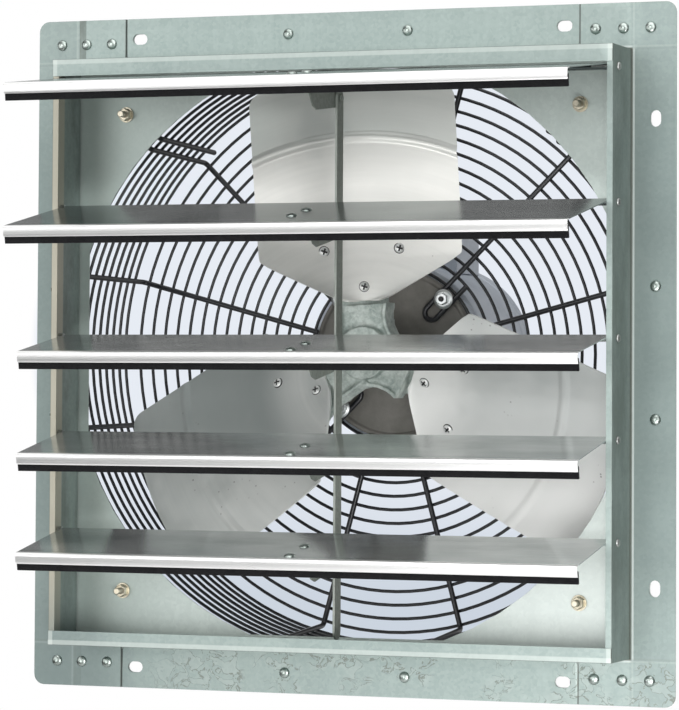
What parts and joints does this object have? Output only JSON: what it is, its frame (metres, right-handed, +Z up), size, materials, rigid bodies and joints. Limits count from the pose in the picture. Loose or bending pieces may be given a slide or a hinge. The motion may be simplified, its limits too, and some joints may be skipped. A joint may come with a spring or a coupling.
{
  "type": "shutter exhaust fan",
  "caption": "Square wall exhaust fan with a gravity shutter of linked louvres in a sheet metal frame, a direct drive rotor, and a round wire guard that carries the motor.",
  "frame": {"origin": "centre of the square mounting flange, in the plane of its front face", "axes": "+X to the right seen from the shutter side, +Y from the shutter towards the motor, +Z up"},
  "size_m": [0.6, 0.4509, 0.6],
  "materials": {
    "galvanised_frame": "galvanised sheet, dull sheen",
    "galvanised_panel": "galvanised sheet, bluish",
    "galvanised_link": "galvanised strip",
    "black_wire": "semi-gloss black coating",
    "motor_paint": "grey paint",
    "yellow_zinc": "yellow passivated zinc",
    "bright_zinc": "bright zinc",
    "bright_steel": "ground steel",
    "cast_aluminium": "as cast",
    "blade_aluminium": "mill finish",
    "louvre_aluminium": "mill finish, brushed along its length",
    "black_felt": "dense black felt"
  },
  "bodies": {
    "frame": {"frame_side_left": "galvanised_frame", "frame_side_right": "galvanised_frame", "frame_rail_top": "galvanised_frame", "frame_rail_bottom": "galvanised_frame", "orifice_panel": "galvanised_panel", "wire_guard": "black_wire", "motor_shell": "motor_paint", "motor_front_bell": "motor_paint", "motor_rear_bell": "motor_paint", "terminal_box": "motor_paint", "guard_bolt_1": "yellow_zinc", "guard_bolt_2": "yellow_zinc", "guard_bolt_3": "yellow_zinc", "guard_bolt_4": "yellow_zinc", "guard_nut_1": "yellow_zinc", "guard_nut_2": "yellow_zinc", "guard_nut_3": "yellow_zinc", "guard_nut_4": "yellow_zinc", "motor_stud_nut_1": "bright_zinc", "motor_stud_nut_2": "bright_zinc", "motor_stud_nut_3": "bright_zinc", "motor_stud_nut_4": "bright_zinc"},
    "rotor": {"rotor_shaft": "bright_steel", "hub_spider": "cast_aluminium", "blade_1": "blade_aluminium", "blade_2": "blade_aluminium", "blade_3": "blade_aluminium"},
    "leaf_1": {"louvre_1": "louvre_aluminium", "felt_seal_1": "black_felt", "link_bracket_1": "galvanised_link", "pivot_pin_left_1": "bright_zinc", "pivot_pin_right_1": "bright_zinc"},
    "leaf_2": {"louvre_2": "louvre_aluminium", "felt_seal_2": "black_felt", "link_bracket_2": "galvanised_link", "pivot_pin_left_2": "bright_zinc", "pivot_pin_right_2": "bright_zinc"},
    "leaf_3": {"louvre_3": "louvre_aluminium", "felt_seal_3": "black_felt", "link_bracket_3": "galvanised_link", "pivot_pin_left_3": "bright_zinc", "pivot_pin_right_3": "bright_zinc"},
    "leaf_4": {"louvre_4": "louvre_aluminium", "felt_seal_4": "black_felt", "link_bracket_4": "galvanised_link", "pivot_pin_left_4": "bright_zinc", "pivot_pin_right_4": "bright_zinc"},
    "leaf_5": {"louvre_5": "louvre_aluminium", "felt_seal_5": "black_felt", "link_bracket_5": "galvanised_link", "pivot_pin_left_5": "bright_zinc", "pivot_pin_right_5": "bright_zinc"},
    "link": {"tie_bar": "galvanised_link"}
  },
  "joints": [
    {"name": "rotor_spin", "type": "hinge", "parent": "frame", "child": "rotor", "pos_m": [0, 0.0525, 0], "axis": [0, 1, 0], "continuous": true},
    {"name": "louvre_1_swing", "type": "hinge", "parent": "frame", "child": "leaf_1", "pos_m": [0, -0.039, 0.242], "axis": [1, 0, 0], "range_deg": [0, 60]},
    {"name": "louvre_2_swing", "type": "hinge", "parent": "frame", "child": "leaf_2", "pos_m": [0, -0.039, 0.127], "axis": [1, 0, 0], "range_deg": [0, 60]},
    {"name": "louvre_3_swing", "type": "hinge", "parent": "frame", "child": "leaf_3", "pos_m": [0, -0.039, 0.012], "axis": [1, 0, 0], "range_deg": [0, 60]},
    {"name": "louvre_4_swing", "type": "hinge", "parent": "frame", "child": "leaf_4", "pos_m": [0, -0.039, -0.074], "axis": [1, 0, 0], "range_deg": [0, 60]},
    {"name": "louvre_5_swing", "type": "hinge", "parent": "frame", "child": "leaf_5", "pos_m": [0, -0.039, -0.16], "axis": [1, 0, 0], "range_deg": [0, 60]},
    {"name": "tie_bar_pivot", "type": "hinge", "parent": "leaf_1", "child": "link", "pos_m": [0, -0.0225, 0.222], "axis": [1, 0, 0], "range_deg": [-60, 0]}
  ],
  "couplings": [
    {"joint": "louvre_2_swing", "follows": "louvre_1_swing", "ratio": 1},
    {"joint": "louvre_3_swing", "follows": "louvre_1_swing", "ratio": 1},
    {"joint": "louvre_4_swing", "follows": "louvre_1_swing", "ratio": 1},
    {"joint": "louvre_5_swing", "follows": "louvre_1_swing", "ratio": 1},
    {"joint": "tie_bar_pivot", "follows": "louvre_1_swing", "ratio": -1}
  ]
}
